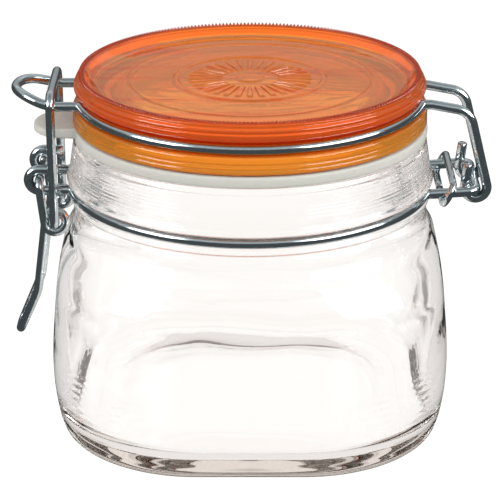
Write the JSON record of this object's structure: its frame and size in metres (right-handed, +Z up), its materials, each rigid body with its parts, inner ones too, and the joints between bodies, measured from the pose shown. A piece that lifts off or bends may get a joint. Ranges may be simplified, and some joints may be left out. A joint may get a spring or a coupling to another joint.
{
  "type": "bail clamp jar",
  "caption": "Square-shouldered glass storage jar with a round hinged glass lid, rubber gasket with pull tab, and a bent-wire bail clamp with lever, link and thumb loop.",
  "frame": {"origin": "centre of the base on the jar's axis, on the surface that the jar stands on", "axes": "+Z up along the jar's axis; +X towards the hinge, -X towards the latch; -Y is the front"},
  "size_m": [0.1337, 0.1104, 0.102],
  "materials": {
    "clear_glass": "clear pressed soda-lime glass",
    "orange_glass": "translucent orange pressed glass",
    "rubber": "translucent off-white rubber, satin",
    "steel_wire": "bright drawn steel wire"
  },
  "bodies": {
    "jar": {"jar_body": "clear_glass", "neck_wire": "steel_wire", "neck_wire_keeper": "steel_wire"},
    "lid": {"lid": "orange_glass", "gasket": "rubber", "lid_wire": "steel_wire"},
    "lever": {"lever": "steel_wire"},
    "link": {"bail_link": "steel_wire"}
  },
  "joints": [
    {"name": "lid_hinge", "type": "hinge", "parent": "jar", "child": "lid", "pos_m": [0.0624, 0, 0.0704], "axis": [0, 1, 0], "range_deg": [0, 110]},
    {"name": "lever_pivot", "type": "hinge", "parent": "jar", "child": "lever", "pos_m": [-0.0582, 0, 0.0724], "axis": [0, 1, 0], "range_deg": [0, 110], "deforming": ["bail_link"]},
    {"name": "link_pivot", "type": "hinge", "parent": "lever", "child": "link", "pos_m": [-0.054, 0, 0.0608], "axis": [0, 1, 0], "range_deg": [-148, 0]}
  ],
  "couplings": [
    {"joint": "link_pivot", "follows": "lever_pivot", "ratio": -1.34}
  ]
}
